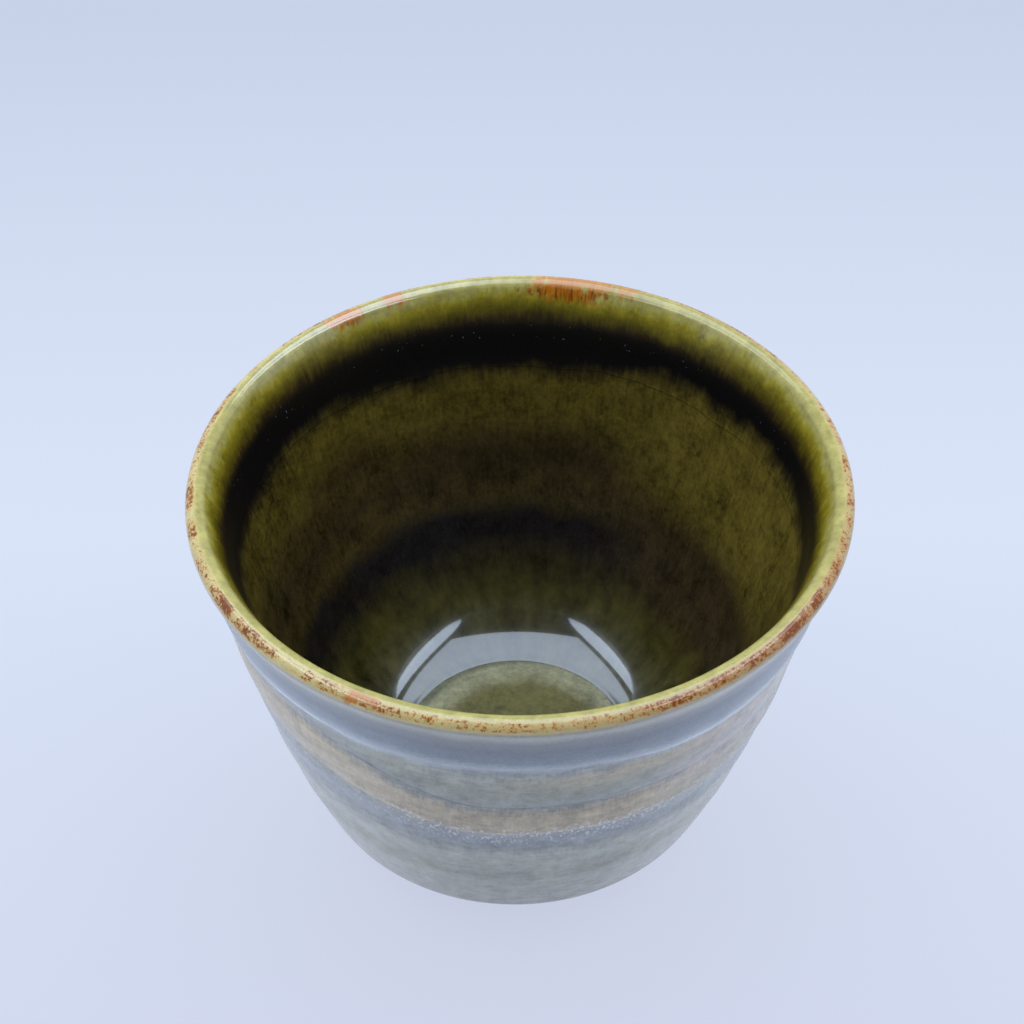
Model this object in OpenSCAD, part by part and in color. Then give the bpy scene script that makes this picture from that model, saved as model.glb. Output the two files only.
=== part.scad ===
// A wide, low yunomi: a wheel-thrown stoneware tea cup on a turned foot ring.
// The clay carries one base glaze inside and out, a second glaze dipped over
// the rim, a pool of glaze in the well of the floor and a brushed band outside.
// Millimetres, +Z up, origin on the table at the centre of the foot ring.

/* [Overall] */
// Height from the table to the top of the glazed lip
cup_h = 58; // [52:0.5:68]
// Outer diameter at the glazed lip
rim_d = 85; // [80:0.5:94]

/* [Wall] */
// How far the wall draws in under the flared lip, each side
neck_in = 2.2; // [1:0.1:3.5]
// Depth of that neck below the top of the lip
neck_drop = 7; // [5.5:0.25:9]
// Outer diameter of the glazed wall where it turns in to the foot
base_d = 56.6; // [52:0.1:62]
// Height above the table where the wall starts to turn in
base_z = 6.5; // [6:0.25:9]
// How much steeper the outer wall is at the neck than on average, in degrees
neck_bow = 3; // [0:0.5:6]
// How much more the outer wall leans at the base than on average, in degrees
base_bow = 7.5; // [2:0.5:12]
// Height of the throwing ridges on both faces of the wall
ridge_h = 0.06; // [0.02:0.02:0.2]
// Spacing of the throwing ridges, measured up the wall
ridge_pitch = 8; // [6:0.5:12]

/* [Lip] */
// Thickness of the bare clay at the lip
lip_t = 1.6; // [1.2:0.1:2.4]
// How far round under the lip its rounding runs, in degrees below level
lip_under = 24; // [12:1:40]

/* [Inside] */
// Lean of the inner face just under the lip, in degrees from upright
lip_slope = 28; // [20:1:36]
// Thickness of the clay wall at the neck
wall_t = 2; // [1.5:0.1:3]
// How much more the inner wall leans at the neck than the outer wall on average, in degrees
inner_bow = 1; // [0:0.5:3]
// Clay between the foot recess and the floor inside the cup
floor_t = 4.1; // [3.4:0.1:5.5]
// Diameter of the well in the middle of the floor
well_d = 30; // [22:0.5:36]
// Depth of the well below the floor
well_depth = 0.6; // [0.4:0.1:1]
// Width of the sloping edge round the well
well_edge_w = 0.8; // [0.6:0.1:1.6]
// Slope at which the floor rises from the edge of the well, in degrees
floor_rise = 8; // [2:0.5:14]

/* [Foot ring] */
// Outer diameter of the foot ring on the table
foot_d = 43; // [36:0.5:46]
// Height of the foot ring up to the underside of the wall
foot_h = 3.6; // [3:0.1:4.5]
// Width of the ring's flat bottom face
foot_w = 3.4; // [2.5:0.1:5]
// How much wider the foot is at its top than on the table, each side
foot_splay = 0.8; // [0.2:0.1:1.5]
// Width and height of the bevel on both edges of the bottom face
foot_bevel = 0.5; // [0.2:0.1:0.8]
// Height of the recess inside the ring at its wall
recess_h = 2.6; // [2:0.1:3.4]
// Extra height of the recess at its centre
recess_dome = 0.4; // [0.2:0.1:1]

/* [Glaze] */
// Thickness of the base glaze inside and outside
base_glaze_t = 0.35; // [0.25:0.05:0.6]
// Height of the bare clay left between the foot ring and the outer glaze
bare_h = 0.8; // [0.4:0.1:2]
// Thickness of the second glaze dipped over the rim
rim_glaze_t = 0.25; // [0.15:0.05:0.5]
// Depth of the rim dip below the lip, on the inside
rim_dip_in = 11.5; // [9:0.5:14]
// Depth of the rim dip below the lip, on the outside
rim_dip_out = 11; // [8:0.5:14]
// Level of the glaze pool below the edge of the well
pool_drop = 0.1; // [0.05:0.05:0.3]

/* [Brushed band] */
// Depth of the band's upper edge below the lip
band_drop = 20.5; // [18:0.5:26]
// Height of the band, measured upright
band_h = 6; // [3:0.5:9]
// Thickness of the band
band_t = 0.2; // [0.1:0.05:0.35]

/* [Hidden] */

// Smoothness of the turned solids and of the curves in their outlines
turn_fn = 128;
lip_steps = 10;
flare_steps = 8;
wall_steps = 40;
turn_steps = 12;

// Length of a curve's handles as a share of the straight distance it spans
handle_share = 1 / 3;
// Handles of the inner curve, as shares of its drop and of its run to the well
inner_drop_share = 0.55;
inner_run_share = 0.515;

// The lip is a round bead of clay under two coats of glaze
coats_t = base_glaze_t + rim_glaze_t;
lip_r = lip_t / 2;
lip_centre = [rim_d / 2 - coats_t - lip_r, cup_h - coats_t - lip_r];

// Places on the clay's outer face, one glaze coat inside the stated diameters
neck = [rim_d / 2 - neck_in - base_glaze_t, cup_h - neck_drop];
base = [base_d / 2 - base_glaze_t, base_z];
foot_top = [foot_d / 2 + foot_splay, foot_h];
foot_bottom_r = foot_d / 2 - foot_bevel;
glaze_stop_z = foot_h + bare_h;

// Leans of the wall from the vertical: on average, at its ends and inside the neck
wall_lean = atan2(neck[0] - base[0], neck[1] - base[1]);
neck_lean = wall_lean - neck_bow;
base_lean = wall_lean + base_bow;
inner_lean = wall_lean + inner_bow;

// Places on the clay's inner face
inner_neck = neck - [wall_t, 0];
floor_z = recess_h + floor_t;
well_z = floor_z - well_depth;
well_r = well_d / 2;
well_rim = [well_r + well_edge_w, floor_z];

// Level of the pool, seen on the glazed floor
pool_z = floor_z + base_glaze_t - pool_drop;

function mix(a, b, t) = a + (b - a) * t;

// Points of a cubic curve
function curve(p0, p1, p2, p3, steps) = [
    for (i = [0 : steps])
        let (t = i / steps, s = 1 - t)
        s * s * s * p0 + 3 * s * s * t * p1 + 3 * s * t * t * p2 + t * t * t * p3
];

// Points of an arc, by angle in degrees from level
function arc(centre, radius, from, to, steps) = [
    for (i = [0 : steps])
        let (a = mix(from, to, i / steps))
        centre + radius * [cos(a), sin(a)]
];

// Direction down a wall that leans in towards the axis
function down(lean) = [-sin(lean), -cos(lean)];

function tail(path) = [for (i = [1 : len(path) - 1]) path[i]];
function reversed(path) = [for (i = [len(path) - 1 : -1 : 0]) path[i]];

// Unit normal on the left of a path at point i, which is out of the clay
function normal_at(path, i) =
    let (d = path[min(i + 1, len(path) - 1)] - path[max(i - 1, 0)])
    [-d[1], d[0]] / norm(d);

function offset_path(path, distance) = [
    for (i = [0 : len(path) - 1]) path[i] + distance * normal_at(path, i)
];

// Throwing ridges on a wall, fading out at both of its ends
function ridged(path) = [
    for (i = [0 : len(path) - 1])
        let (fade = sin(180 * i / (len(path) - 1)))
        path[i] + ridge_h * fade * cos(360 * path[i][1] / ridge_pitch) * normal_at(path, i)
];

// Index of the first point of a falling path at or below a level
function first_below(path, z, i = 1) =
    i >= len(path) - 1 || path[i][1] <= z ? i : first_below(path, z, i + 1);

// Point of a falling path at a level, between points i - 1 and i
function at_level(path, i, z) =
    mix(path[i - 1], path[i], (path[i - 1][1] - z) / (path[i - 1][1] - path[i][1]));

// Part of a falling path above a level, and the part below it
function above(path, z) =
    let (k = first_below(path, z))
    concat([for (i = [0 : k - 1]) path[i]], [at_level(path, k, z)]);
function below(path, z) =
    let (k = first_below(path, z))
    concat([at_level(path, k, z)], [for (i = [k : len(path) - 1]) path[i]]);

// Clay outside, from the crown of the lip down to the top of the foot
lip_outside = arc(lip_centre, lip_r, 90, -lip_under, lip_steps);
lip_edge = lip_outside[lip_steps];
flare_handle = handle_share * norm(neck - lip_edge);
flare = curve(lip_edge, lip_edge + flare_handle * down(lip_under),
    neck - flare_handle * down(neck_lean), neck, flare_steps);
wall_handle = handle_share * norm(base - neck);
wall = ridged(curve(neck, neck + wall_handle * down(neck_lean),
    base - wall_handle * down(base_lean), base, wall_steps));
turn_handle = handle_share * norm(foot_top - base);
turn = curve(base, base + turn_handle * down(base_lean),
    foot_top + [turn_handle, 0], foot_top, turn_steps);
clay_outside = concat(lip_outside, tail(flare), tail(wall), tail(turn));

// Clay inside, from the crown of the lip down to the middle of the well
lip_inside = arc(lip_centre, lip_r, 90, 180 - lip_slope, lip_steps);
inner_edge = lip_inside[lip_steps];
inner_flare_handle = handle_share * norm(inner_neck - inner_edge);
inner_flare = curve(inner_edge, inner_edge + inner_flare_handle * down(lip_slope),
    inner_neck - inner_flare_handle * down(inner_lean), inner_neck, flare_steps);
inner_drop = inner_neck[1] - floor_z;
inner_run = inner_neck[0] - well_rim[0];
inner_wall = ridged(curve(inner_neck,
    inner_neck + inner_drop_share * inner_drop / cos(inner_lean) * down(inner_lean),
    well_rim + inner_run_share * inner_run * [1, tan(floor_rise)], well_rim, wall_steps));
clay_inside = concat(lip_inside, tail(inner_flare), tail(inner_wall),
    [[well_r, well_z], [0, well_z]]);

// Underside, from the outer wall of the foot to the middle of its recess
foot_outline = [
    [foot_d / 2, foot_bevel],
    [foot_bottom_r, 0],
    [foot_bottom_r - foot_w, 0],
    [foot_bottom_r - foot_w - foot_bevel, foot_bevel],
    [foot_bottom_r - foot_w - foot_bevel - foot_splay, recess_h],
    [0, recess_h + recess_dome]
];

// The glazed clay as one path, from the middle of the well over the lip to
// where the outer glaze stops, and the face of the base glaze on it
glazed_clay = concat(reversed(clay_inside), tail(above(clay_outside, glaze_stop_z)));
base_face = offset_path(glazed_clay, base_glaze_t);
crown = len(clay_inside) - 1;
last = len(glazed_clay) - 1;
inner_face = [for (i = [crown : -1 : 0]) base_face[i]];
outer_face = [for (i = [crown : last]) base_face[i]];

// Solid of revolution of a coat between the path that it lies on and its face
module turned(outline) {
    rotate_extrude($fn = turn_fn) polygon(outline);
}
module coat(path, thickness) {
    turned(concat(path, reversed(offset_path(path, thickness))));
}

// Thrown stoneware: wall, floor and turned foot, one piece of clay
module clay_body() {
    color("tan") turned(concat(reversed(clay_inside), tail(clay_outside), foot_outline));
}

// Base glaze inside, from the crown of the lip to the middle of the well
module liner_glaze() {
    color("darkolivegreen")
        turned(concat([for (i = [0 : crown]) glazed_clay[i]], inner_face));
}

// Glaze that ran down the inside and set level in the well
module pooled_glaze() {
    color("olivedrab") turned(concat(below(inner_face, pool_z), [[0, pool_z]]));
}

// Base glaze outside, from the crown of the lip to just above the foot
module outer_glaze() {
    color("slategray")
        turned(concat([for (i = [last : -1 : crown]) glazed_clay[i]], outer_face));
}

// Second glaze dipped over the rim, on top of the base glaze
module rim_glaze() {
    color("darkkhaki")
        coat(concat(reversed(above(inner_face, cup_h - rim_dip_in)),
            tail(above(outer_face, cup_h - rim_dip_out))), rim_glaze_t);
}

// Band brushed round the outside, on top of the base glaze
module brushed_band() {
    band_top = cup_h - band_drop;
    color("rosybrown") coat(below(above(outer_face, band_top - band_h), band_top), band_t);
}

clay_body();
liner_glaze();
pooled_glaze();
outer_glaze();
rim_glaze();
brushed_band();
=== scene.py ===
# %% [markdown]
# A low, wide yunomi, the everyday Japanese tea cup: one lump of stoneware thrown on a wheel,
# turned at the foot, and dressed in glaze. The solids already hold its true sizes. This lesson
# dresses them: it turns each piece again on a wheel made of Geometry Nodes, so that the lines
# waver as a hand leaves them, and paints every glaze with nodes.

# %% Load the solids
import math

import bpy
from mathutils import Matrix, Vector


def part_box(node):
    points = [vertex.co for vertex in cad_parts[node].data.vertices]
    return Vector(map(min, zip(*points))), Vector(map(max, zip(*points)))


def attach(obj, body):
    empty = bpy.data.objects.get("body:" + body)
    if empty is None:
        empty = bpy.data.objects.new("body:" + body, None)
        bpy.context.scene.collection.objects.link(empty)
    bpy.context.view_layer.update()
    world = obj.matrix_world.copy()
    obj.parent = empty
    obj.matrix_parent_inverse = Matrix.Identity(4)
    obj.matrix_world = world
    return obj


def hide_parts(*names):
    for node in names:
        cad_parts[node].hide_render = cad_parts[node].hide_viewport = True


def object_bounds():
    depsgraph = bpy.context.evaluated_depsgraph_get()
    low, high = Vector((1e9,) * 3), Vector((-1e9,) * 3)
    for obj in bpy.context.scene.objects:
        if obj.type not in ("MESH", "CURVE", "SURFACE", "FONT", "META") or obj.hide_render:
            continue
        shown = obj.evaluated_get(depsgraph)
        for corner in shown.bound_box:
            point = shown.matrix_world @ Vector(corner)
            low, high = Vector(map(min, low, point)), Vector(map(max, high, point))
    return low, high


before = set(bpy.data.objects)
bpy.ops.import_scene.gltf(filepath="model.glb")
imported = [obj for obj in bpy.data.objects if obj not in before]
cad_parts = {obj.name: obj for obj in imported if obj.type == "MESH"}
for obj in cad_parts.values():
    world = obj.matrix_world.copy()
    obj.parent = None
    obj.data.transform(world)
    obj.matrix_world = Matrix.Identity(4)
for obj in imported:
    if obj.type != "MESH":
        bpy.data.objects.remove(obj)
cad_low, cad_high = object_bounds()
print("solids:", sorted(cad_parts))
print("box of the solids, mm:", [round(1000 * v, 1) for v in (*cad_low, *cad_high)])

# %% [markdown]
# A thrown cup is a line turned round an axis, so its sizes are the sizes of that line. The levels
# that show on the solids are read from their boxes. The rest, such as how far the wall bows, are
# given here in millimetres.

# %% Sizes of the outline
MM = 0.001
cup_h = cad_high.z
rim_r = max(cad_high.x, cad_high.y)
base_glaze_t = 0.35 * MM
rim_glaze_t = 0.25 * MM
lip_r = 0.8 * MM
lip_under = 24
lip_slope = 28
neck_in = 2.2 * MM
neck_drop = 7 * MM
wall_t = 2 * MM
base_r = 28.3 * MM
base_z = 6.5 * MM
neck_bow = 3
base_bow = 7.5
inner_bow = 1
ridge_h = 0.06 * MM
ridge_pitch = 8 * MM

pool_low, pool_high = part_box("pooled_glaze")
foot_h = 3.6 * MM
foot_r = 21.5 * MM
foot_w = 3.4 * MM
foot_splay = 0.8 * MM
foot_bevel = 0.5 * MM
recess_h = 2.6 * MM
recess_dome = 0.4 * MM
floor_z = 6.7 * MM
floor_rise = 8
well_r = 15 * MM
well_edge_w = 0.8 * MM
well_depth = 0.6 * MM
inner_pull = 0.55
floor_pull = 0.515
glaze_stop_z = 4.4 * MM
print("cup", round(cup_h / MM, 1), "mm high, rim radius", round(rim_r / MM, 1), "mm")


# %% [markdown]
# The outline is drawn as a potter's template is: a round bead for the lip, a short flare, one
# long easy curve for the wall and a quick turn into the foot. Cubic curves join these without a
# corner. Each point is (distance from the axis, height).

# %% Draw the outline of the clay
def curve(p0, p1, p2, p3, steps):
    """Points of a cubic curve."""
    points = []
    for i in range(steps + 1):
        t = i / steps
        s = 1 - t
        points.append(s ** 3 * p0 + 3 * s * s * t * p1 + 3 * s * t * t * p2 + t ** 3 * p3)
    return points


def arc(centre, radius, start, stop, steps):
    """Points of an arc, by angle in degrees from level."""
    angles = [math.radians(start + (stop - start) * i / steps) for i in range(steps + 1)]
    return [centre + radius * Vector((math.cos(a), math.sin(a))) for a in angles]


def down(lean):
    """Direction down a wall that leans in towards the axis."""
    return Vector((-math.sin(math.radians(lean)), -math.cos(math.radians(lean))))


def normal_at(path, i):
    """Unit normal on the left of a path, which is out of the clay."""
    along = path[min(i + 1, len(path) - 1)] - path[max(i - 1, 0)]
    return Vector((-along.y, along.x)).normalized()


def offset_path(path, distance):
    """A path moved out of the clay by a distance."""
    return [p + distance * normal_at(path, i) for i, p in enumerate(path)]


def ridged(path):
    """Throwing ridges on a wall, fading out at both of its ends."""
    made = []
    for i, p in enumerate(path):
        fade = math.sin(math.pi * i / (len(path) - 1))
        rise = ridge_h * fade * math.cos(2 * math.pi * p.y / ridge_pitch)
        made.append(p + rise * normal_at(path, i))
    return made


coats_t = base_glaze_t + rim_glaze_t
lip_centre = Vector((rim_r - coats_t - lip_r, cup_h - coats_t - lip_r))
neck = Vector((rim_r - neck_in - base_glaze_t, cup_h - neck_drop))
base = Vector((base_r - base_glaze_t, base_z))
foot_top = Vector((foot_r + foot_splay, foot_h))
wall_lean = math.degrees(math.atan2(neck.x - base.x, neck.y - base.y))

lip_outside = arc(lip_centre, lip_r, 90, -lip_under, 24)
lip_edge = lip_outside[-1]
flare_handle = (neck - lip_edge).length / 3
flare = curve(lip_edge, lip_edge + flare_handle * down(lip_under),
              neck - flare_handle * down(wall_lean - neck_bow), neck, 24)
wall_handle = (base - neck).length / 3
wall = ridged(curve(neck, neck + wall_handle * down(wall_lean - neck_bow),
                    base - wall_handle * down(wall_lean + base_bow), base, 140))
turn_handle = (foot_top - base).length / 3
turn = curve(base, base + turn_handle * down(wall_lean + base_bow),
             foot_top + Vector((turn_handle, 0)), foot_top, 36)
clay_outside = lip_outside + flare[1:] + wall[1:] + turn[1:]

inner_lean = wall_lean + inner_bow
lip_inside = arc(lip_centre, lip_r, 90, 180 - lip_slope, 24)
inner_edge = lip_inside[-1]
inner_neck = neck - Vector((wall_t, 0))
inner_flare_handle = (inner_neck - inner_edge).length / 3
inner_flare = curve(inner_edge, inner_edge + inner_flare_handle * down(lip_slope),
                    inner_neck - inner_flare_handle * down(inner_lean), inner_neck, 24)
well_rim = Vector((well_r + well_edge_w, floor_z))
inner_handle = inner_pull * (inner_neck.y - floor_z) / math.cos(math.radians(inner_lean))
floor_slope = Vector((1, math.tan(math.radians(floor_rise))))
floor_handle = floor_pull * (inner_neck.x - well_rim.x) * floor_slope
inner_wall = ridged(curve(inner_neck, inner_neck + inner_handle * down(inner_lean),
                          well_rim + floor_handle, well_rim, 160))
well_floor = Vector((well_r, floor_z - well_depth))
well_slope = curve(well_rim, well_rim - Vector((well_edge_w / 2, 0)),
                   well_floor + Vector((well_edge_w / 2, 0)), well_floor, 10)
well_middle = Vector((0, floor_z - well_depth))
clay_inside = lip_inside + inner_flare[1:] + inner_wall[1:] + well_slope[1:] + [well_middle]
print("outline:", len(clay_outside), "points outside,", len(clay_inside), "inside")

# %% [markdown]
# All the glaze lies on one line: from the middle of the well, up the inside, over the lip and
# down to where the outer glaze stops. Its face is that line moved out by one coat. A place on
# the glaze is then a length along this face, counted from the middle of the well.

# %% The face of the base glaze
glazed_outside = [p for p in clay_outside if p.y > glaze_stop_z]
glazed_clay = clay_inside[::-1] + glazed_outside[1:]
glaze_face = offset_path(glazed_clay, base_glaze_t)
crown_index = len(clay_inside) - 1
lengths = [0.0]
for before, after in zip(glaze_face, glaze_face[1:]):
    lengths.append(lengths[-1] + (after - before).length)
crown_at = lengths[crown_index]
face_end = lengths[-1]
PAST_CROWN = 12


def length_at_depth(depth, outside):
    """Length along the face where it lies at a depth below the lip."""
    level = cup_h - depth
    if outside:
        steps = range(crown_index + PAST_CROWN, len(glaze_face))
    else:
        steps = range(crown_index - PAST_CROWN, -1, -1)
    return next(lengths[i] for i in steps if glaze_face[i].y <= level)


print("glaze face:", round(crown_at / MM, 1), "mm inside and",
      round((face_end - crown_at) / MM, 1), "mm outside the crown")


# %% [markdown]
# Blender's node trees grow long when every sum is a node made by hand. This small class wraps a
# socket, so that Python's own operators add the Math nodes. The same two classes serve the glaze
# materials and the Geometry Nodes wheel.

# %% Wires and sheets
class Wire:
    """A socket that carries a value. Operators on it add Math nodes to its sheet."""

    def __init__(self, sheet, socket):
        self.sheet = sheet
        self.socket = socket

    def __add__(self, other):
        return self.sheet.math("ADD", self, other)

    def __sub__(self, other):
        return self.sheet.math("SUBTRACT", self, other)

    def __mul__(self, other):
        return self.sheet.math("MULTIPLY", self, other)

    def __truediv__(self, other):
        return self.sheet.math("DIVIDE", self, other)

    def __rsub__(self, other):
        return self.sheet.math("SUBTRACT", other, self)

    __radd__ = __add__
    __rmul__ = __mul__


class Sheet:
    """A node tree, with one method that adds a node and a few short forms of it."""

    def __init__(self, tree):
        self.tree = tree

    def node(self, kind, settings=None, sockets=None, out=0):
        made = self.tree.nodes.new(kind)
        for key, value in (settings or {}).items():
            if key == "stops":
                set_stops(made.color_ramp, value)
            else:
                setattr(made, key, value)
        for key, value in (sockets or {}).items():
            if isinstance(value, Wire):
                self.tree.links.new(value.socket, made.inputs[key])
            else:
                made.inputs[key].default_value = value
        return Wire(self, made.outputs[out])

    def math(self, operation, *values):
        return self.node("ShaderNodeMath", {"operation": operation}, dict(enumerate(values)))

    def step(self, value, start, stop):
        """Smooth step from 0 at start to 1 at stop."""
        return self.node("ShaderNodeMapRange", {"interpolation_type": "SMOOTHSTEP"},
                         {"Value": value, "From Min": start, "From Max": stop})

    def vector(self, x, y, z):
        return self.node("ShaderNodeCombineXYZ", None, {0: x, 1: y, 2: z})

    def split(self, vector):
        first = self.node("ShaderNodeSeparateXYZ", None, {0: vector})
        outputs = first.socket.node.outputs
        return [Wire(self, outputs[i]) for i in range(3)]

    def noise(self, vector, scale, detail=2.0, rough=0.5):
        """Noise about zero, mostly within half of 1 either way."""
        made = self.node("ShaderNodeTexNoise", {"noise_dimensions": "3D"},
                         {"Vector": vector, "Scale": scale, "Detail": detail, "Roughness": rough})
        return made - 0.5

    def blend(self, share, first, second):
        """Colour that goes from first to second."""
        return self.node("ShaderNodeMix", {"data_type": "RGBA"}, {0: share, 6: first, 7: second}, out=2)

    def shade(self, colour, share):
        """Colour made lighter or darker."""
        start = colour if isinstance(colour, Wire) else colour[:3]
        return self.node("ShaderNodeVectorMath", {"operation": "SCALE"}, {0: start, "Scale": share})

    def ramp(self, value, stops):
        return self.node("ShaderNodeValToRGB", {"stops": stops}, {0: value})

    def layers(self, depth, span, stops):
        """Colour by depth, from (depth, colour) stops within a span."""
        return self.ramp(depth / span, [(place / span, colour) for place, colour in stops])


def set_stops(ramp, stops):
    """Fill a colour ramp with (place, colour) stops."""
    while len(ramp.elements) < len(stops):
        ramp.elements.new(1.0)
    for element, (place, colour) in zip(ramp.elements, stops):
        element.position = place
        element.color = colour


print("sheets ready")


# %% [markdown]
# Glaze colours are noted as they look on a screen, from 0 to 255. The shader wants them as amounts
# of light, so one function turns them over.

# %% Glaze colours
def seen(red, green, blue):
    """A screen colour as linear light."""
    shares = [v / 255 for v in (red, green, blue)]
    linear = [v / 12.92 if v <= 0.04045 else ((v + 0.055) / 1.055) ** 2.4 for v in shares]
    return (*linear, 1.0)


LIP_CREAM = seen(222, 200, 134)
LIP_PALE = seen(180, 165, 92)
LIP_GREEN = seen(170, 155, 62)
OLIVE_BRIGHT = seen(146, 128, 31)
OLIVE_DEEP = seen(102, 88, 18)
TENMOKU_BROWN = seen(52, 38, 13)
TENMOKU_BLACK = seen(12, 11, 14)
OLIVE = seen(92, 77, 27)
OLIVE_WARM = seen(103, 87, 32)
OLIVE_MID = seen(73, 60, 26)
OLIVE_BROWN = seen(57, 45, 23)
OLIVE_DARK = seen(50, 43, 21)
OLIVE_LOW = seen(67, 54, 24)
BROWN_LOW = seen(58, 45, 26)
BROWN_CLOUD = seen(48, 37, 20)
RING_DARK = seen(29, 24, 22)
FLOOR_OLIVE = seen(68, 60, 23)
FLOOR_GREY = seen(82, 77, 52)
LIP_TOASTED = seen(160, 112, 78)
RUST = seen(192, 100, 0)
RUST_DARK = seen(122, 56, 4)
RUST_HIGHLIT = seen(210, 146, 88)
TAN_GREY = seen(172, 162, 148)
BLUE_GREY = seen(124, 126, 127)
BLUE_DEEP = seen(121, 126, 134)
BLUE_LIGHT = seen(141, 146, 156)
CREASE_GLINT = seen(214, 221, 230)
CREASE_GREY = seen(172, 175, 180)
STONE_GREY = seen(165, 163, 151)
MOSS_GREY = seen(156, 154, 138)
MOSS_DARK = seen(143, 143, 138)
TAN = seen(182, 164, 137)
PINK_TAN = seen(184, 168, 162)
SLATE = seen(140, 142, 143)
CRYSTAL_AND_GLINT = seen(212, 216, 218)
CLAY = seen(158, 128, 100)
CLAY_DARK = seen(112, 86, 66)
print("lip colour as light:", [round(v, 3) for v in LIP_PALE])


# %% [markdown]
# Every glaze pattern follows the wheel: runs go down the wall, rings go round it. So the
# materials read the place on the cup as a depth below the lip, a distance from the axis and a
# direction round it. A direction is kept as two numbers, so that no seam shows.

# %% Places on the cup
class Places:
    """Millimetre places on the cup, from Object coordinates."""

    def __init__(self, sheet):
        point = sheet.node("ShaderNodeTexCoord", None, None, out="Object")
        x, y, z = [v * (1 / MM) for v in sheet.split(point)]
        self.sheet = sheet
        self.point = sheet.node("ShaderNodeVectorMath", {"operation": "SCALE"},
                                {0: point, "Scale": 1 / MM})
        self.depth = cup_h / MM - z
        self.radius = sheet.math("SQRT", x * x + y * y)
        self.east = x / self.radius
        self.north = y / self.radius

    def wrapped(self, round_scale, depth_scale, shift=0.0):
        """A vector for noise that closes round the cup."""
        return self.sheet.vector(self.east * round_scale, self.north * round_scale,
                                 self.depth * depth_scale + shift)

    def facing(self, degrees):
        """Cosine of the angle between a direction round the cup and this place."""
        angle = math.radians(degrees)
        return self.east * math.cos(angle) + self.north * math.sin(angle)

    def towards(self, degrees, width):
        """1 in a direction round the cup, fading to 0 at width degrees either side."""
        return self.sheet.step(self.facing(degrees), math.cos(math.radians(width)), 1.0)

    def near(self, degrees, width):
        """1 in a direction round the cup, falling evenly to 0 at width degrees and then below it."""
        away = self.sheet.math("ARCCOSINE", self.facing(degrees))
        return 1.0 - away * (1 / math.radians(width))


def new_sheet(name):
    """A material with an empty tree, and its sheet."""
    material = bpy.data.materials.new(name)
    material.use_nodes = True
    material.node_tree.nodes.clear()
    return material, Sheet(material.node_tree)


def fire(sheet, sockets, bump=None, strength=0.3, distance=0.1 * MM):
    """Close a material: a Principled shader with the given sockets and an optional bump."""
    if bump is not None:
        sockets["Normal"] = sheet.node("ShaderNodeBump", None,
                                       {"Strength": strength, "Distance": distance, "Height": bump})
    close(sheet, sheet.node("ShaderNodeBsdfPrincipled", None, sockets))


def close(sheet, shader):
    """Join a shader to the material's output."""
    output = sheet.tree.nodes.new("ShaderNodeOutputMaterial")
    sheet.tree.links.new(shader.socket, output.inputs["Surface"])


print("places ready")


# %% [markdown]
# Inside, the iron glaze runs: thin and yellow-green on the lip, black where a second dip rolled
# up thick below it, olive with fine runs on the wall, and dark again in one low ring. One
# function paints this for both coats that show inside, so their joint can't be seen. The runs
# aren't even round the cup: the right side stays olive further down, and two brown clouds hang
# at the back. A cloud has a direction, a width in degrees, a depth and a height in millimetres.

# %% The inside colour
LIP_SPAN = 8.0
WALL_SPAN = 52.0
BROWN_CLOUDS = [(92, 36, 26.0, 5.5), (137, 17, 20.0, 5.0)]


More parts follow.
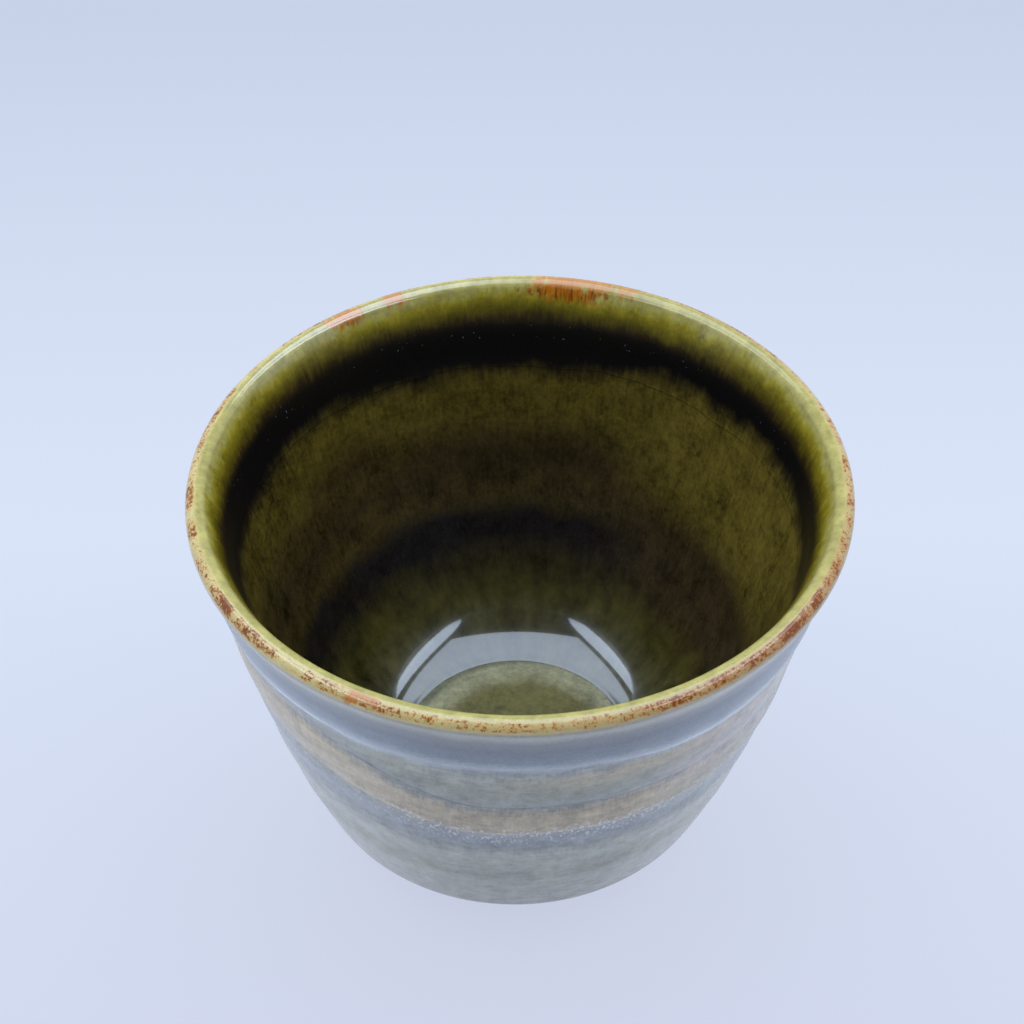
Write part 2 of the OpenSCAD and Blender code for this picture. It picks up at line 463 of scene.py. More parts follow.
def inside_colour(sheet, at):
    """Colour of the glaze on the inside, from the lip to the floor."""
    calm = sheet.step(at.depth, 47.0, 37.0)
    slow = sheet.noise(at.wrapped(1.7, 0.06, 3.0), 1.0, 2.0)
    runs = sheet.noise(at.wrapped(64, 0.16), 1.0, 3.0, 0.7) * calm
    cloud = sheet.noise(at.wrapped(7, 0.2, 5.0), 1.0, 4.0, 0.6)
    weave = sheet.noise(at.wrapped(54, 1.2, 7.0), 1.0, 3.0, 0.8) * calm
    mottle = sheet.noise(at.point, 0.45, 3.0, 0.7)
    lip_depth = at.depth + runs * 3.0 + weave * 1.6 + slow * 1.4 + cloud * 3.0
    lip = sheet.layers(lip_depth, LIP_SPAN, [
        (0.0, LIP_PALE), (0.9, LIP_PALE), (1.5, LIP_GREEN), (2.2, OLIVE_BRIGHT), (3.4, OLIVE_DEEP),
        (4.8, TENMOKU_BROWN), (6.2, TENMOKU_BLACK)])
    streaky = sheet.step(at.depth, 0.5, 2.2) * (runs * 1.2 + weave * 1.8)
    lip = sheet.shade(lip, 1.0 + streaky + mottle * 1.3)

    wall_depth = at.depth + slow * 3.0 + cloud * 4.5 + runs * 0.8
    painted = sheet.layers(wall_depth, WALL_SPAN, [
        (14, OLIVE), (18, OLIVE), (22.5, OLIVE_MID), (27.5, OLIVE_BROWN), (32, OLIVE_LOW),
        (35.2, RING_DARK), (37.8, RING_DARK), (41, OLIVE_DARK), (45, FLOOR_OLIVE), (51, FLOOR_GREY)])
    right = sheet.layers(wall_depth, WALL_SPAN, [
        (11, OLIVE_WARM), (25, OLIVE_WARM), (31, BROWN_LOW), (40, BROWN_LOW), (45, FLOOR_OLIVE),
        (51, FLOOR_GREY)])
    painted = sheet.blend(at.towards(25, 48), painted, right)
    for direction, width, depth, tall in BROWN_CLOUDS:
        away = sheet.math("ABSOLUTE", wall_depth + cloud * 5.0 - depth)
        brown = sheet.step(away, tall, 0.0) * at.towards(direction, width)
        painted = sheet.blend(brown * 0.7, painted, BROWN_CLOUD)
    # Painted shade: the wall is darkened towards the left side of the cup.
    shaded = 1.0 - at.towards(178, 38) * 0.28
    painted = sheet.shade(painted, shaded + runs * 0.8 + weave * 1.7 + cloud * 1.7 + mottle * 1.3)

    lower = 11.2 + at.towards(95, 40) * 1.8 + at.towards(178, 30) * 1.5 - at.towards(35, 45) * 1.6
    edge = at.depth + slow * 1.2 + cloud * 4.0 + runs * 1.8
    black = sheet.step(edge, lower + 2.2, lower - 1.8)
    dust = sheet.step(sheet.noise(at.point, 1.9, 1.0), 0.27, 0.32)
    dark = sheet.blend(dust * 0.6, TENMOKU_BLACK, OLIVE)
    # Painted highlights: a few white flecks high in the black band stand for glints on it; outside, the
    # same white is real crystals.
    glint_flecks = sheet.step(sheet.noise(at.point, 3.0, 0.0), 0.31, 0.35) * sheet.step(at.depth, 8.4, 7.2)
    dark = sheet.blend(glint_flecks * 0.2, dark, CRYSTAL_AND_GLINT)
    painted = sheet.blend(black, painted, dark)
    return sheet.blend(sheet.step(at.depth + runs * 1.2, 4.6, 6.4), lip, painted)


# %% [markdown]
# Outside, the same glazes cooled in thinner coats: smooth blue-grey under the lip down to the
# crease where the dip ended, then grey with moss, with a brushed tan band and a slate line of
# fine crystals under it. Neither line is level: the crease sinks a little on the right of the
# picture, and the band climbs and widens on the left. Each has a direction and a width for this.
# Both sides of the wall are painted lighter than its front: a painted reflection of the pale
# surroundings, which the glaze mirrors more at a slant.

# %% The outside colour
OUTSIDE_SPAN = 60.0
CREASE_DEPTH = 11.2
CREASE_SINK = 1.7
CREASE_DIRECTION = 315
CREASE_WIDTH = 32
BAND_DIRECTION = 200
BAND_WIDTH = 63


def outside_colour(sheet, at):
    """Colour of the glaze on the outside, from the lip to the foot."""
    drift = sheet.noise(at.wrapped(1.5, 0.05, 11.0), 1.0, 2.0)
    brush = sheet.noise(at.wrapped(9, 1.0, 5.0), 1.0, 4.0, 0.65)
    fibre = sheet.noise(at.wrapped(84, 0.4, 2.0), 1.0, 3.0, 0.7)
    mottle = sheet.noise(at.point, 0.42, 4.0, 0.7)
    grain = sheet.noise(at.point, 2.2, 3.0, 0.8)

    roll = sheet.noise(at.wrapped(6, 0.12, 8.0), 1.0, 2.0)
    crease = CREASE_DEPTH + at.towards(CREASE_DIRECTION, CREASE_WIDTH) * CREASE_SINK
    zone = (at.depth + drift * 1.0 + roll * 1.6) / crease
    # Towards the crease the ramp turns lighter grey: partly the glaze's colour, partly a painted
    # highlight on the crease.
    upper = sheet.ramp(zone + brush * 0.1, [
        (0.1, TAN_GREY), (0.22, STONE_GREY), (0.37, BLUE_GREY), (0.57, BLUE_DEEP), (0.8, BLUE_LIGHT),
        (0.94, CREASE_GREY), (1.04, CREASE_GREY)])
    climb = sheet.math("MAXIMUM", 12.9 - at.depth * 0.37, 0.0) * at.towards(BAND_DIRECTION, BAND_WIDTH)
    level = at.depth + climb + drift * 1.6 + brush * 2.0 + fibre * 3.4
    lower = sheet.layers(level, OUTSIDE_SPAN, [
        (10.5, BLUE_GREY), (13.5, STONE_GREY), (17.0, MOSS_GREY), (20.4, MOSS_DARK), (22.4, TAN),
        (26.4, TAN), (28.6, SLATE), (31.4, SLATE), (34, STONE_GREY), (41, MOSS_GREY), (48, STONE_GREY)])
    faded = at.towards(345, 60) * sheet.step(level, 20.0, 23.0) * sheet.step(level, 33.0, 29.0)
    lower = sheet.blend(faded * 0.6, lower, STONE_GREY)
    streak_at = at.depth + drift * 1.5 + fibre * 2.2 + brush * 1.6
    streak = sheet.step(streak_at, 12.4, 14.4) * sheet.step(streak_at, 17.4, 15.2) * at.towards(302, 42)
    lower = sheet.blend(streak * 0.75, lower, TAN)
    blush = sheet.step(streak_at, 12.5, 16.0) * sheet.step(streak_at, 26.0, 21.0) * at.towards(325, 34)
    lower = sheet.blend(blush * 0.6, lower, PINK_TAN)
    painted = sheet.blend(sheet.step(zone, 1.0, 1.12), upper, lower)
    # Painted highlight: a pale glint line is painted along the crease towards both sides of the cup.
    ends = at.towards(220, 28) + at.towards(318, 34)
    glint = sheet.step(zone, 0.94, 0.985) * sheet.step(zone, 1.05, 1.0) * ends
    painted = sheet.blend(glint * 0.75, painted, CREASE_GLINT)
    below = sheet.step(zone, 0.9, 1.2)
    rough_hand = brush * 0.9 + mottle * 1.3 + fibre * 0.35
    # Painted reflection: both sides of the wall are lightened, standing in for the sheen of the pale
    # room.
    flank_sheen = 1.0 + at.towards(222, 34) * 0.27 + at.towards(314, 26) * 0.18
    painted = sheet.shade(painted, flank_sheen + (0.15 + below * 0.85) * rough_hand + grain * 0.65)
    crystals = sheet.noise(at.wrapped(88, 1.3, 6.0), 1.0, 1.0)
    line = sheet.step(level, 24.6, 27.2) * sheet.step(level, 32.0, 28.0)
    line = line * (1.0 - at.towards(345, 60) * 0.8 - at.towards(220, 30) * 0.55)
    return sheet.blend(sheet.step(crystals, 0.055, 0.155) * line * 0.85, painted, CRYSTAL_AND_GLINT)


print("inside and outside colours ready")

# %% [markdown]
# Now the finishes. Glossy glaze is a smooth dielectric with a shallow ripple in it. The liner
# has a soft gloss on the wall, where it ran thin, and a clear coat over that on the floor, where
# it melted fully and mirrors the light.

# %% Liner glaze
liner_finish, sheet = new_sheet("liner_glaze")
at = Places(sheet)
ripple = sheet.noise(at.wrapped(5, 0.06), 1.0, 1.0)
melted = sheet.step(at.depth, 46.8, 48.2)
fire(sheet, {"Base Color": inside_colour(sheet, at), "Roughness": 0.22, "IOR": 1.4,
             "Coat Weight": melted, "Coat Roughness": 0.06, "Coat IOR": 1.72},
     bump=ripple, strength=0.1, distance=0.15 * MM)
print("finish:", liner_finish.name)

# %% [markdown]
# The pool is the same glass, but thick and still, so it looks greener and smoother. A pale ring just
# inside its edge and a thin dark line on the edge are painted reflections of the back of the lip.

# %% Pooled glaze
pool_finish, sheet = new_sheet("pooled_glaze")
at = Places(sheet)
cloud = sheet.noise(at.point, 0.14, 3.0)
speckle = sheet.noise(at.point, 1.1, 4.0, 0.7)
POOL_GREEN = seen(110, 101, 54)
POOL_LIP_REFLECTION = seen(154, 147, 110)
POOL_EDGE_REFLECTION = seen(116, 113, 82)
pool_radius = pool_high.x / MM
# Painted reflection: the pale ring and the dark edge line stand for the lip at the back, mirrored in
# the pool.
pool_colour = sheet.ramp((at.radius + cloud * 1.2) / pool_radius, [
    (0.0, POOL_GREEN), (0.68, POOL_GREEN), (0.86, POOL_LIP_REFLECTION), (0.94, POOL_LIP_REFLECTION), (0.99, POOL_EDGE_REFLECTION)])
pool_colour = sheet.shade(pool_colour, 1.0 + cloud * 0.9 + speckle * 1.5)
fire(sheet, {"Base Color": pool_colour, "Roughness": 0.1, "IOR": 1.6},
     bump=cloud, strength=0.05, distance=0.1 * MM)
print("finish:", pool_finish.name)

# %% [markdown]
# The outer glaze is satin: it reflects the pale table softly, more so towards the edges.

# %% Outer glaze
outer_finish, sheet = new_sheet("outer_glaze")
at = Places(sheet)
grain = sheet.noise(at.wrapped(70, 1.6), 1.0, 3.0, 0.6)
fire(sheet, {"Base Color": outside_colour(sheet, at), "Roughness": 0.2 + grain * 0.12, "IOR": 1.7},
     bump=grain, strength=0.25, distance=0.12 * MM)
print("finish:", outer_finish.name)

# %% [markdown]
# The rim glaze covers the lip on both sides. It takes the inside colour on one face and the
# outside colour on the other. On the crown it is thin, and the iron in the clay breaks through
# it as a chain of rust-brown specks, with a few larger patches. On some sides it fired browner or
# shows more iron: each has a direction, a width in degrees and an amount.

# %% Rim glaze
TOASTED_SIDES = [(318, 70, 0.65), (48, 42, 0.5)]
IRON_SIDES = [(318, 50, 0.08), (222, 40, 0.04), (183, 4, 0.12)]
LIP_LEAN = 0.3
rim_finish, sheet = new_sheet("rim_glaze")
at = Places(sheet)
middle = lip_centre.x / MM - LIP_LEAN * at.depth
side = at.radius - middle
specks = sheet.noise(at.point, 2.3, 4.0, 0.75)
blotch = sheet.noise(at.point, 0.7, 3.0, 0.65)
clusters = sheet.noise(at.wrapped(11, 0.1, 4.0), 1.0, 2.0)
drips = sheet.noise(at.wrapped(46, 0.3, 9.0), 1.0, 3.0, 0.65)
out_share = sheet.step(side + specks * 0.5, -0.2, 0.7)
outside = outside_colour(sheet, at)
lip_cream = sheet.shade(LIP_CREAM, 1.0 + specks * 1.3 + blotch * 0.6)
for direction, width, share in TOASTED_SIDES:
    toasted = sheet.math("MAXIMUM", at.near(direction, width), 0.0)
    lip_cream = sheet.blend(toasted * share, lip_cream, LIP_TOASTED)
under_lip = sheet.step(at.depth + specks * 0.9 + blotch * 0.5, 1.0, 1.6)
lip_out = sheet.blend(under_lip, lip_cream, outside)
painted = sheet.blend(out_share, inside_colour(sheet, at), lip_out)
chain = sheet.step(side + blotch * 0.6, 0.2, 0.6) * sheet.step(at.depth + blotch * 0.9, 1.2, 0.75)
iron = specks + blotch * 0.5 + clusters * 0.5 - 0.02
for direction, width, more in IRON_SIDES:
    iron = iron + sheet.math("MAXIMUM", at.near(direction, width), 0.0) * more
painted = sheet.blend(sheet.step(iron, -0.08, 0.08) * chain * 0.7, painted, RUST)
painted = sheet.blend(sheet.step(iron, 0.02, 0.14) * chain * 0.9, painted, RUST_DARK)

# %% [markdown]
# Where the rim was wiped, the iron comes up in whole patches. Each has a direction round the
# cup, a width in degrees, a reach down the wall in millimetres and the side from which it starts.
# Noise gnaws its edges, so that it ends in drips. At the back left of the lip the glaze set
# thicker, so a clear coat adds gloss there.

# %% Rust patches on the lip
PATCHES = [(80, 8.5, 2.6, -9.0), (71, 8, 0.8, -9.0), (126, 4.5, 1.5, -9.0), (115, 2.8, 1.2, -9.0),
           (243, 4.5, 1.3, 0.1)]
patches = None
for direction, width, reach, from_side in PATCHES:
    core = at.near(direction, width) + blotch * 2.4 + drips * 1.6
    ragged = at.depth + drips * 4.0 + blotch * 1.5
    patch = sheet.step(core, 0.0, 0.5) * sheet.step(ragged, reach + 0.2, reach - 1.0)
    patch = patch * sheet.step(side + blotch * 0.5, from_side - 0.2, from_side + 0.2)
    patches = patch if patches is None else sheet.math("MAXIMUM", patches, patch)
# Painted highlight: where a patch reaches the crown its rust is lightened to a pale orange.
crown = sheet.step(at.depth + blotch * 1.6, 0.8, 0.3)
streaks = sheet.noise(at.wrapped(90, 0.2, 2.0), 1.0, 2.0, 0.6)
streaked = streaks * 1.3 + drips * 0.5 + sheet.step(at.depth, 0.6, 1.6) * 0.1
patch_colour = sheet.blend(sheet.step(streaked, -0.02, 0.2), RUST, RUST_DARK)
patch_colour = sheet.blend(crown * 0.7, patch_colour, RUST_HIGHLIT)
bare = sheet.step(specks + blotch * 0.6, -0.4, -0.14)
painted = sheet.blend(patches * bare * 0.9, painted, patch_colour)
grain = sheet.noise(at.wrapped(60, 1.0), 1.0, 3.0)
thick = sheet.step(at.depth, 2.4, 1.2) * sheet.step(side, 0.6, -0.2) * at.towards(132, 45)
satin = 0.15 + sheet.step(at.depth, 1.0, 2.6) * 0.09
fire(sheet, {"Base Color": painted, "Roughness": satin, "IOR": 1.57,
             "Coat Weight": thick, "Coat Roughness": 0.12, "Coat IOR": 1.7},
     bump=grain, strength=0.12, distance=0.1 * MM)
print("finish:", rim_finish.name)

# %% [markdown]
# The band is slip laid on with a loaded brush while the wheel turned, so its grain runs round
# the cup, with short hairs hanging down from it where the glaze pulled.

# %% Brushed band
band_finish, sheet = new_sheet("brushed_band")
at = Places(sheet)
hairs = sheet.noise(at.wrapped(80, 0.4), 1.0, 3.0, 0.6)
painted = sheet.shade(outside_colour(sheet, at), 1.0 + hairs * 0.35)
fire(sheet, {"Base Color": painted, "Roughness": 0.24 + hairs * 0.1, "IOR": 1.66},
     bump=hairs, strength=0.35, distance=0.15 * MM)
print("finish:", band_finish.name)

# %% [markdown]
# The foot is bare stoneware: buff brown, dry, with fine grog and the spiral that the turning
# tool left.

# %% Bare clay
clay_finish, sheet = new_sheet("stoneware")
at = Places(sheet)
grog = sheet.noise(at.point, 2.2, 4.0, 0.65)
toasted = sheet.noise(at.point, 0.09, 2.0)
turning = sheet.math("SINE", at.radius * 5.5 + sheet.noise(at.point, 0.1) * 6.0)
painted = sheet.blend(sheet.step(grog + toasted, -0.25, 0.3), CLAY_DARK, CLAY)
fire(sheet, {"Base Color": painted, "Roughness": 0.82 + grog * 0.2, "IOR": 1.45},
     bump=turning * 0.35 + grog, strength=0.5, distance=0.2 * MM)
print("finish:", clay_finish.name)

# %% [markdown]
# The wheel is a Geometry Nodes tree. It takes a drawn line, lays a flat grid along it, and rolls
# the grid round the axis: one way across the grid is the turn of the wheel, the other is the
# length along the line. Going out along the face and home along the back makes a closed coat,
# whose last row lands on its first and is welded to it. The tiny values keep each division off
# zero.
# A curve swept round a circle would also do, but here every point knows its angle, so the edge
# of a coat can waver and the wall can carry the marks of fingers.

# %% Build the wheel
WHEEL_INPUTS = [
    ("Segments", "Int"), ("Rows", "Int"), ("Face share", "Float"), ("Start", "Float"), ("End", "Float"),
    ("Face", "Float"), ("Back", "Float"), ("Start round", "Float"), ("End round", "Float"),
    ("Start feather", "Float"), ("End feather", "Float"), ("End bead", "Float"),
    ("Start wave", "Float"), ("End wave", "Float"), ("Start swing", "Float"), ("End swing", "Float"),
    ("Swing towards", "Float"), ("Swing from", "Float"), ("Seed", "Float"), ("Material", "Material")]
ROW_GAP = 0.0001
HAIR = 0.0000001
LEAST_ROUND = 0.000001
LEAST_FEATHER = 0.0000002
BEAD_FROM = 3.5 * MM
BEAD_FULL = 1.2 * MM
wheel = bpy.data.node_groups.new("potters_wheel", "GeometryNodeTree")
wheel.interface.new_socket("Geometry", in_out="INPUT", socket_type="NodeSocketGeometry")
for label, kind in WHEEL_INPUTS:
    wheel.interface.new_socket(label, in_out="INPUT", socket_type="NodeSocket" + kind)
wheel.interface.new_socket("Geometry", in_out="OUTPUT", socket_type="NodeSocketGeometry")
sheet = Sheet(wheel)
group_input = wheel.nodes.new("NodeGroupInput")
given = {socket.name: Wire(sheet, socket) for socket in group_input.outputs if socket.name}

grid = sheet.node("GeometryNodeMeshGrid", None, {
    "Size X": 1.0, "Size Y": 1.0, "Vertices X": given["Segments"], "Vertices Y": given["Rows"]})
across, along, _ = sheet.split(sheet.node("GeometryNodeInputPosition"))
turn_angle = (across + 0.5) * (-2 * math.pi)
cosine = sheet.math("COSINE", turn_angle)
sine = sheet.math("SINE", turn_angle)
walk = along + 0.5
on_back = sheet.math("GREATER_THAN", walk, given["Face share"] + ROW_GAP)
out_walk = walk / given["Face share"]
home_walk = (1.0 - walk) / sheet.math("MAXIMUM", 1.0 - given["Face share"], ROW_GAP)
walked = out_walk + on_back * (home_walk - out_walk)


def edge_wave(size, shift):
    """How far the edge of a coat wavers at this angle."""
    loose = sheet.noise(sheet.vector(cosine * 2.2, sine * 2.2, given["Seed"] + shift), 1.0, 1.0)
    drips = sheet.noise(sheet.vector(cosine * 14, sine * 14, given["Seed"] + shift), 1.0, 2.0)
    return (loose * 1.4 + drips * 0.6) * size


swing_cosine = sheet.math("COSINE", given["Swing towards"])
swing_sine = sheet.math("SINE", given["Swing towards"])
swing = sheet.step(cosine * swing_cosine + sine * swing_sine, given["Swing from"], 1.0)
first = given["Start"] + edge_wave(given["Start wave"], 0.0) + given["Start swing"] * swing
final = given["End"] + edge_wave(given["End wave"], 20.0) + given["End swing"] * swing
place = first + (final - first) * walked
line = sheet.node("GeometryNodeMeshToCurve", None, {"Mesh": given["Geometry"]})
sample = sheet.node("GeometryNodeSampleCurve", {"mode": "LENGTH"},
                    {"Curves": line, "Length": place}, out="Position")
tangent = Wire(sheet, sample.socket.node.outputs["Tangent"])
radius, _, height = sheet.split(sample)
tangent_r, _, tangent_z = sheet.split(tangent)


def rounding(distance, reach):
    """1 away from an edge, falling in a quarter circle to 0 on it."""
    near = sheet.math("MINIMUM", distance / sheet.math("MAXIMUM", reach, LEAST_ROUND), 1.0)
    gap = 1.0 - sheet.math("MAXIMUM", near, 0.0)
    return sheet.math("SQRT", sheet.math("MAXIMUM", 1.0 - gap * gap, 0.0))


from_start = place - first + HAIR
to_end = final - place + HAIR
swell = rounding(from_start, given["Start round"]) * rounding(to_end, given["End round"])
thin_start = sheet.step(from_start, 0.0, sheet.math("MAXIMUM", given["Start feather"], LEAST_FEATHER))
thin_end = sheet.step(to_end, 0.0, sheet.math("MAXIMUM", given["End feather"], LEAST_FEATHER))
bead = 1.0 + given["End bead"] * sheet.step(to_end, BEAD_FROM, BEAD_FULL)
coat = given["Face"] * swell * thin_start * thin_end * bead
last_row = sheet.math("GREATER_THAN", walk, 1.0 - ROW_GAP)
off_axis = sheet.math("GREATER_THAN", given["Start"], 0.0)
lift = coat + on_back * (1.0 - last_row * off_axis) * (given["Back"] - coat)

# %% [markdown]
# No thrown wall is a true cone. Three small movements, shared by all coats so that they stay
# seated on each other, make it a hand's: soft rings where the fingers pressed, a slightly oval
# rim, and an axis that leans a little to one side.

# %% Marks of the hand
FINGER_DEPTH = 0.06 * MM
OVAL = 0.12 * MM
LEAN = 1.0 * MM
FINGERS_FROM = foot_h
FINGERS_FULL = foot_h + 6 * MM
OVAL_FULL = 10 * MM
WELD = 0.000002
finger_place = sheet.vector(radius * cosine * 14, radius * sine * 14, height * 150)
fingers = sheet.noise(finger_place, 1.0, 1.0) * (2 * FINGER_DEPTH)
rise = sheet.math("MINIMUM", sheet.math("MAXIMUM", height / cup_h, 0.0), 1.0)
above_foot = sheet.step(height, FINGERS_FROM, FINGERS_FULL)
pushed = lift + fingers * above_foot
oval = (cosine * cosine - sine * sine) * OVAL * rise
pressed_r = radius - tangent_z * pushed + oval * sheet.step(radius, 0.0, OVAL_FULL)
turned_r = sheet.math("MAXIMUM", pressed_r, 0.0)
turned_z = height + tangent_r * pushed
leant = (1.0 - rise) * LEAN
new_place = sheet.vector(turned_r * cosine - leant, turned_r * sine, turned_z)

moved = sheet.node("GeometryNodeSetPosition", None, {"Geometry": grid, "Position": new_place})
closed = sheet.node("GeometryNodeMergeByDistance", None, {"Geometry": moved, "Distance": WELD})
smooth = sheet.node("GeometryNodeSetShadeSmooth", None, {0: closed})
real = sheet.node("GeometryNodeRealizeInstances", None, {0: smooth})
dressed = sheet.node("GeometryNodeSetMaterial", None, {"Geometry": real, "Material": given["Material"]})
group_output = wheel.nodes.new("NodeGroupOutput")
wheel.links.new(dressed.socket, group_output.inputs[0])
print("wheel:", len(wheel.nodes), "nodes")


# %% [markdown]
# To turn a piece, its line goes into a throwaway object with the wheel as modifier. The
# modifier's inputs are set by identifier before anything is evaluated. The evaluated result is
# kept as a plain mesh, so the finished piece carries no modifier.

# %% Turn a piece
def throw(name, node, slot, path, material, **sizes):
    """Make a finished piece, turned from a path, which replaces a solid."""
    line_mesh = bpy.data.meshes.new(name + "_line")
    points = [(p.x, 0.0, p.y) for p in path]
    line_mesh.from_pydata(points, [(i, i + 1) for i in range(len(points) - 1)], [])
    line_object = bpy.data.objects.new(name + "_line", line_mesh)
    bpy.context.scene.collection.objects.link(line_object)
    modifier = line_object.modifiers.new("wheel", "NODES")
    modifier.node_group = wheel
    values = {label: 0.0 for label, kind in WHEEL_INPUTS if kind == "Float"}
    values.update({"Segments": 361, "Face share": 1.0, "Material": material})
    values.update({key.replace("_", " ").capitalize(): value for key, value in sizes.items()})
    for socket in wheel.interface.items_tree:
        if socket.in_out == "INPUT" and socket.name in values:
            modifier[socket.identifier] = values[socket.name]
    depsgraph = bpy.context.evaluated_depsgraph_get()
    mesh = bpy.data.meshes.new_from_object(line_object.evaluated_get(depsgraph))
    bpy.data.objects.remove(line_object)
    piece = bpy.data.objects.new(name, mesh)
    bpy.context.scene.collection.objects.link(piece)
    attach(piece, "root")
    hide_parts(node)
    triangles = sum(len(face.vertices) - 2 for face in mesh.polygons)
    print(name, "has", triangles, "triangles")


def one_sided(direction, width):
    """Wheel sizes for an edge that moves only within some degrees of a direction."""
    return {"swing_towards": math.radians(direction), "swing_from": math.cos(math.radians(width))}


# %% [markdown]
# The clay comes first. Its line runs from the middle of the floor over the lip, down the outside,
# round the foot ring and back to the axis under the cup, so it closes by itself.

# %% Clay body
foot_bottom_r = foot_r - foot_bevel
foot_inner_r = foot_bottom_r - foot_w - foot_bevel
foot_corners = [
    foot_top, Vector((foot_r, foot_bevel)), Vector((foot_bottom_r, 0)),
    Vector((foot_bottom_r - foot_w, 0)), Vector((foot_inner_r, foot_bevel)),
    Vector((foot_inner_r - foot_splay, recess_h)), Vector((0, recess_h + recess_dome))]
FOOT_SOFTNESS = 0.5 * MM


def softened(corners, radius, steps):
    """A line with its inner corners rounded by short curves."""
    made = [corners[0]]
    for before, corner, after in zip(corners, corners[1:], corners[2:]):
        reach = min(radius, (before - corner).length / 2, (after - corner).length / 2)
        start = corner + reach * (before - corner).normalized()
        stop = corner + reach * (after - corner).normalized()
        made += curve(start, start.lerp(corner, 0.6), stop.lerp(corner, 0.6), stop, steps)
    made.append(corners[-1])
    return made


clay_line = clay_inside[::-1] + clay_outside[1:] + softened(foot_corners, FOOT_SOFTNESS, 6)[1:]
clay_length = sum((b - a).length for a, b in zip(clay_line, clay_line[1:]))
throw("clay_body_turned", "clay_body", "stoneware", clay_line, clay_finish,
      segments=289, rows=320, end=clay_length)

# %% [markdown]
# The base glaze meets itself at the crown: the liner goes down inside from there, and the outer
# glaze down the outside, where it stops in an uneven rolled edge above the foot.

# %% Base glaze
throw("liner_glaze_coat", "liner_glaze", "liner_glaze", glaze_face, liner_finish,
      rows=260, face_share=0.9, end=crown_at, back=-base_glaze_t)
throw("outer_glaze_coat", "outer_glaze", "outer_glaze", glaze_face, outer_finish,
      rows=240, face_share=0.9, start=crown_at, end=face_end - 0.5 * MM, back=-base_glaze_t,
      end_round=0.8 * MM, end_wave=0.7 * MM, seed=3.0)

# %% [markdown]
# The rim was dipped at a slight tilt, so the edge of its coat runs lower on one side. Inside it
# thins away to nothing. Outside it ends in a soft roll, which is the crease that catches light.

# %% Rim glaze coat
rim_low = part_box("rim_glaze")[0].z
rim_in = length_at_depth(cup_h - rim_low, outside=False)
rim_out = length_at_depth(CREASE_DEPTH * MM, outside=True)
throw("rim_glaze_coat", "rim_glaze", "rim_glaze", glaze_face, rim_finish,
      rows=240, face_share=0.88, start=rim_in, end=rim_out, face=rim_glaze_t, back=-0.1 * MM,
      start_feather=7 * MM, end_round=3.2 * MM, end_bead=0.3, start_wave=1.2 * MM, end_wave=0.5 * MM,
      end_swing=CREASE_SINK * MM, seed=5.0, **one_sided(CREASE_DIRECTION, CREASE_WIDTH))

# %% [markdown]
# The band and the pool finish the cup. The band thins away at both edges, as slip does under a
# brush. The pool's line is its own: level across, and under it the shape of the well.

# %% Band and pool
band_low, band_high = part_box("brushed_band")
band_top = length_at_depth(cup_h - band_high.z, outside=True)
band_foot = length_at_depth(cup_h - band_low.z, outside=True) + 1.2 * MM
throw("brushed_band_coat", "brushed_band", "brushed_band", glaze_face, band_finish,
      rows=80, face_share=0.75, start=band_top, end=band_foot, face=0.2 * MM, back=-0.1 * MM,
      start_feather=2.5 * MM, end_feather=1.5 * MM, start_wave=0.8 * MM, end_wave=0.8 * MM,
      start_swing=-7.7 * MM, end_swing=-4.5 * MM, seed=8.0, **one_sided(BAND_DIRECTION, BAND_WIDTH))
pool_z = pool_high.z
pool_r = pool_high.x
pool_corners = [
    Vector((0, pool_z)), Vector((pool_r + 0.05 * MM, pool_z)),
    Vector((pool_r - 0.2 * MM, pool_z - 0.25 * MM)), Vector((pool_r - 0.9 * MM, pool_low.z)),
    Vector((0, pool_low.z - 0.05 * MM))]
POOL_SOFTNESS = 0.4 * MM
pool_line = softened(pool_corners, POOL_SOFTNESS, 5)
pool_length = sum((b - a).length for a, b in zip(pool_line, pool_line[1:]))
throw("pooled_glaze_disc", "pooled_glaze", "pooled_glaze", pool_line, pool_finish,
      segments=241, rows=140, end=pool_length)

# %% [markdown]
# The cup stands on a plain pale table under one wide soft panel, with a narrow panel at each
# side and dim pale walls round three sides, as in a small light box. The floor of the cup
# mirrors the panels. The table is a real surface, so it keeps the cup's shadow and is what the
# outer glaze reflects.

# %% Table and light
TABLE_REACH = 1.5
TABLE_FADE_FROM = 0.05
TABLE_FADE_LENGTH = 0.25
table_mesh = bpy.data.meshes.new("table")
corners = [(x * TABLE_REACH, y * TABLE_REACH, 0) for x, y in [(-1, -1), (1, -1), (1, 1), (-1, 1)]]
table_mesh.from_pydata(corners, [], [(0, 1, 2, 3)])
table = bpy.data.objects.new("table", table_mesh)
bpy.context.scene.collection.objects.link(table)
table_finish, sheet = new_sheet("pale_table")
TABLE_PAINT = (0.90, 0.90, 0.90, 1.0)
TABLE_NEAR = (0.618, 0.658, 0.815, 1.0)
TABLE_MIDDLE = (0.665, 0.734, 0.889, 1.0)
TABLE_FAR = (0.526, 0.588, 0.738, 1.0)
TABLE_GLOW = 0.88
_, away, _ = sheet.split(sheet.node("ShaderNodeTexCoord", None, None, out="Object"))
table_seen = sheet.ramp((away + TABLE_FADE_FROM) / TABLE_FADE_LENGTH, [
    (0.0, TABLE_NEAR), (0.4, TABLE_MIDDLE), (1.0, TABLE_FAR)])
paint = sheet.node("ShaderNodeBsdfPrincipled", None, {"Base Color": TABLE_PAINT, "Roughness": 0.9})
glow = sheet.node("ShaderNodeEmission", None, {"Color": table_seen, "Strength": 1.0})
to_camera = sheet.node("ShaderNodeLightPath", out="Is Camera Ray")
to_gloss = Wire(sheet, to_camera.socket.node.outputs["Is Glossy Ray"])
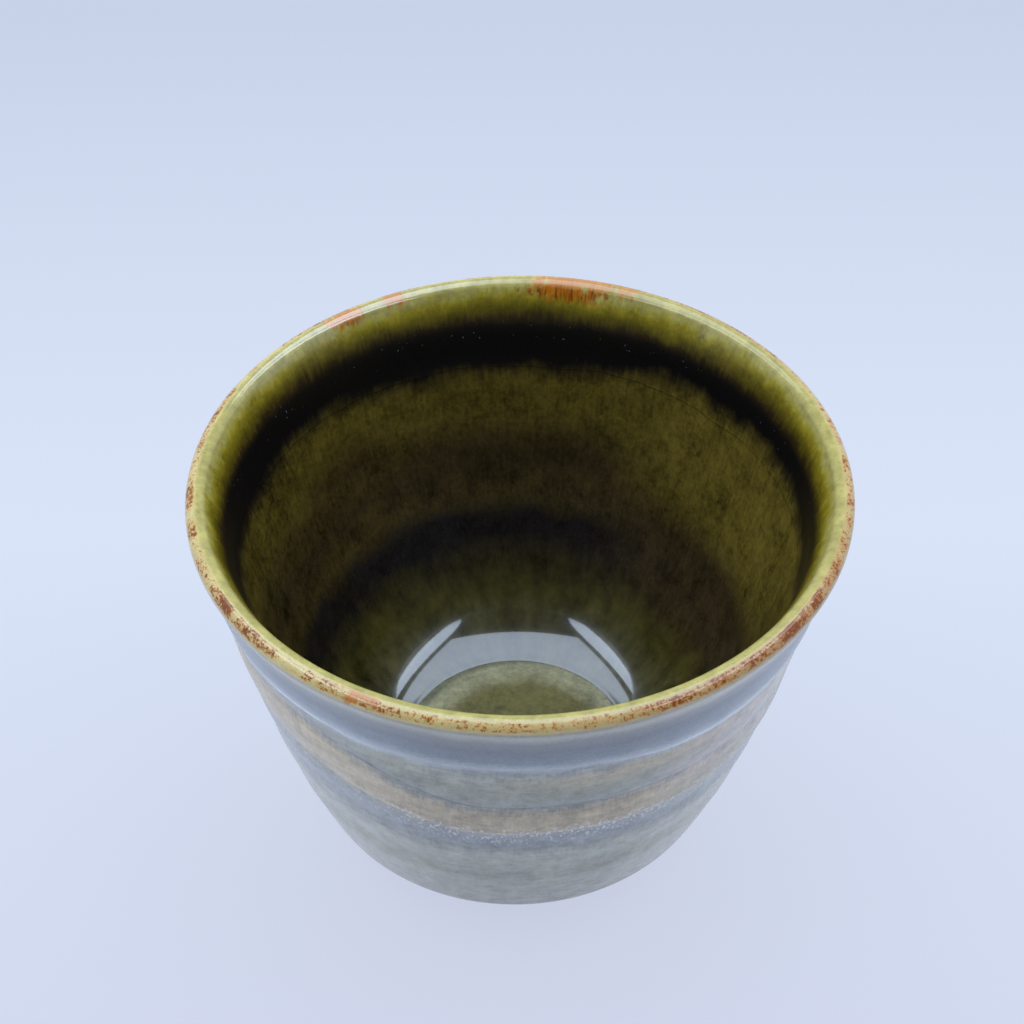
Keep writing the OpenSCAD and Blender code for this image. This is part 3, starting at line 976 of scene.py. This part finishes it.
share = sheet.math("MAXIMUM", to_camera, to_gloss) * TABLE_GLOW
close(sheet, sheet.node("ShaderNodeMixShader", None, {0: share, 1: paint, 2: glow}))
table_mesh.materials.append(table_finish)

PANEL_COLOUR = (0.66, 0.79, 1.0)
WALL_COLOUR = (0.78, 0.87, 1.0)
SIDES = [("left", -1), ("right", 1)]
SIDE_TILT = 36.9


def soft_panel(name, place, turn, width, depth, colour, light, shape="RECTANGLE"):
    """A soft light panel, turned by angles in degrees, of a given brightness."""
    data = bpy.data.lights.new(name, "AREA")
    data.shape = shape
    data.size = width
    data.size_y = depth
    data.energy = light * math.pi * width * depth
    data.color = colour
    panel = bpy.data.objects.new(name, data)
    panel.location = place
    panel.rotation_euler = [math.radians(v) for v in turn]
    bpy.context.scene.collection.objects.link(panel)


soft_panel("top_panel", (0.0, 0.12, 0.6), (0, 0, 0), 0.64, 0.6, PANEL_COLOUR, 3.6)
for name, side in SIDES:
    soft_panel(name + "_panel", (side * 0.46, -0.1, 0.59), (0, side * SIDE_TILT, 0), 0.16, 0.95,
               PANEL_COLOUR, 3.9, "ELLIPSE")
for name, side in SIDES:
    soft_panel(name + "_wall", (side * 0.75, 0.25, 0.45), (0, side * 90, 0), 0.88, 1.2,
               WALL_COLOUR, 0.55)
soft_panel("back_wall", (0.0, 0.85, 0.45), (-90, 0, 0), 1.5, 0.88, WALL_COLOUR, 0.5)

ROOM_DIM = (0.95, 0.97, 1.0, 1.0)
ROOM_DIM_LIGHT = 0.05
ROOM_PALE = (0.46, 0.53, 0.68, 1.0)
world = bpy.data.worlds.new("room")
bpy.context.scene.world = world
world.use_nodes = True
world.node_tree.nodes.clear()
sheet = Sheet(world.node_tree)
dim = sheet.node("ShaderNodeBackground", None, {"Color": ROOM_DIM, "Strength": ROOM_DIM_LIGHT})
pale = sheet.node("ShaderNodeBackground", None, {"Color": ROOM_PALE, "Strength": 1.0})
to_camera = sheet.node("ShaderNodeLightPath", out="Is Camera Ray")
backdrop = sheet.node("ShaderNodeMixShader", None, {0: to_camera, 1: dim, 2: pale})
world_output = world.node_tree.nodes.new("ShaderNodeOutputWorld")
world.node_tree.links.new(backdrop.socket, world_output.inputs["Surface"])
print("lights:", len(bpy.data.lights))

# %% [markdown]
# The camera looks down into the cup from the front, a good arm's length away with a longish
# lens. Its place came from the ellipse that the rim makes in the picture.

# %% Camera
CAMERA_TILT = math.radians(43.675)
CAMERA_PAN = math.radians(0.190)
CAMERA_ROLL = math.radians(-0.466)
CAMERA_PLACE = (0.0, -224.3 * MM, 266.0 * MM)
FOCAL_PIXELS = 2400
IMAGE_PIXELS = 1024
camera_data = bpy.data.cameras.new("camera")
camera_data.sensor_width = 36
camera_data.lens = camera_data.sensor_width * FOCAL_PIXELS / IMAGE_PIXELS
camera_data.clip_start = 0.01
camera = bpy.data.objects.new("camera", camera_data)
bpy.context.scene.collection.objects.link(camera)
tilt = Matrix.Rotation(math.pi / 2 - CAMERA_TILT, 4, "X")
pan = Matrix.Rotation(CAMERA_PAN, 4, "Y")
roll = Matrix.Rotation(CAMERA_ROLL, 4, "Z")
camera.matrix_world = Matrix.Translation(CAMERA_PLACE) @ tilt @ pan @ roll
bpy.context.scene.camera = camera
bpy.context.scene.view_settings.view_transform = "Standard"
print("lens", round(camera_data.lens, 1), "mm")
